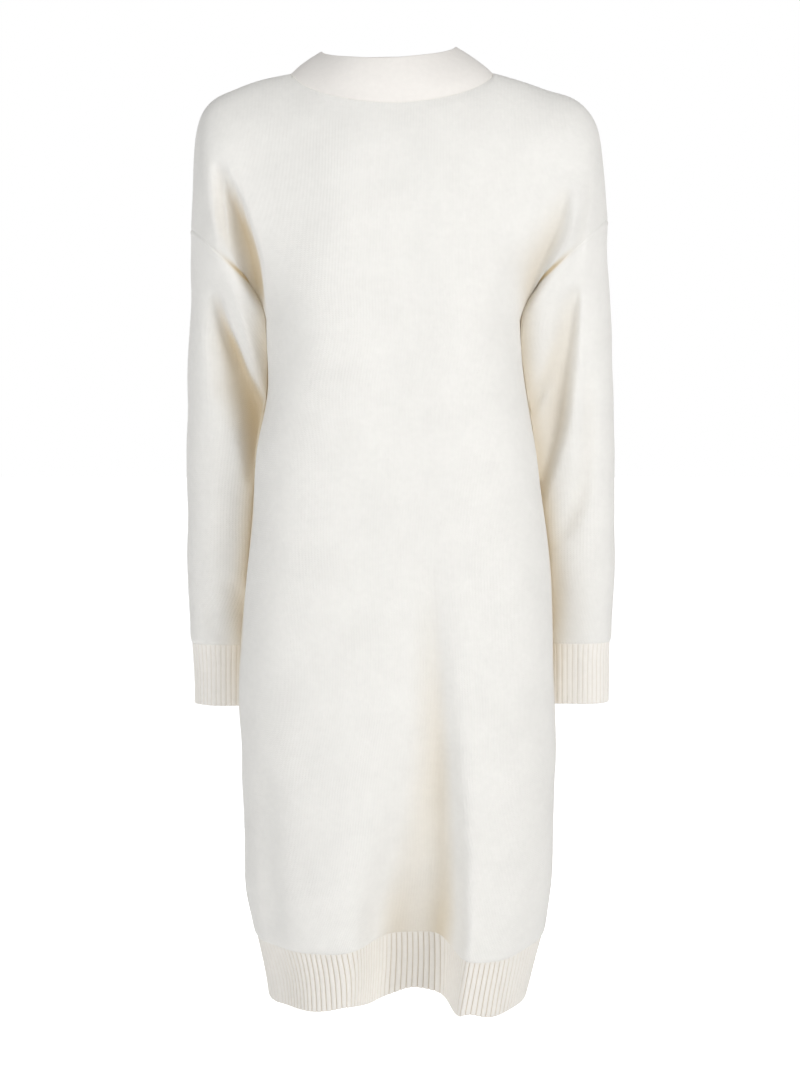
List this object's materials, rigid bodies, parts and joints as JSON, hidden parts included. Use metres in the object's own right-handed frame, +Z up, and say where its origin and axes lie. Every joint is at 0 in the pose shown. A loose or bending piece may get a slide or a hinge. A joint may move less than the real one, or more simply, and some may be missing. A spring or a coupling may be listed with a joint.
{
  "type": "sweater dress",
  "caption": "Knee-length knitted dress in its worn hollow form, with a high plain collar, dropped shoulders, long sleeves and ribbed cuffs and hem.",
  "frame": {"origin": "midway between the neck ends of the two shoulder seams, where the shoulders carry the dress", "axes": "+Z up, from the hem to the collar; -Y out of the front of the dress; +X towards the wearer's left sleeve"},
  "size_m": [0.4723, 0.2339, 1.0302],
  "materials": {
    "knit": "fine plain knit, matt, soft",
    "rib": "ribbed knit, matt, soft",
    "collar": "smooth double knit, matt"
  },
  "bodies": {
    "root": {"front": "knit", "back": "knit", "sleeve_right": "knit", "sleeve_left": "knit", "cuff_right": "rib", "cuff_left": "rib", "hem_front": "rib", "hem_back": "rib", "collar": "collar"}
  },
  "joints": []
}
